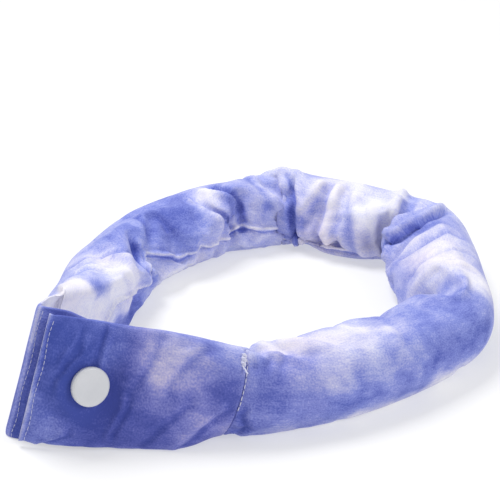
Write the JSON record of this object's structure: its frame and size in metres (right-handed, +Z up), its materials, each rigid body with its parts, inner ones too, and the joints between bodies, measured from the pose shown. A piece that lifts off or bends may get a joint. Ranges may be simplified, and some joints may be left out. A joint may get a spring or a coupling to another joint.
{
  "type": "cooling neck wrap",
  "caption": "Padded cloth neck wrap, lying closed in a ring: a bead-filled sleeve with two flat end tabs held by a round snap.",
  "frame": {"origin": "middle of the footprint of the closed ring, on the surface that it lies on", "axes": "+Z up; +X to the right and +Y away from a viewer who faces the snap"},
  "size_m": [0.192, 0.2238, 0.0538],
  "materials": {
    "tie_dye_cloth": "woven cotton, tie-dyed in periwinkle blue and lavender white",
    "snap_plastic": "pale grey moulded plastic, softly polished"
  },
  "bodies": {
    "root": {"padded_tube": "tie_dye_cloth", "front_tab": "tie_dye_cloth", "rear_tab": "tie_dye_cloth", "front_snap_cap": "snap_plastic", "snap_socket": "snap_plastic", "rear_snap_cap": "snap_plastic"}
  },
  "joints": []
}
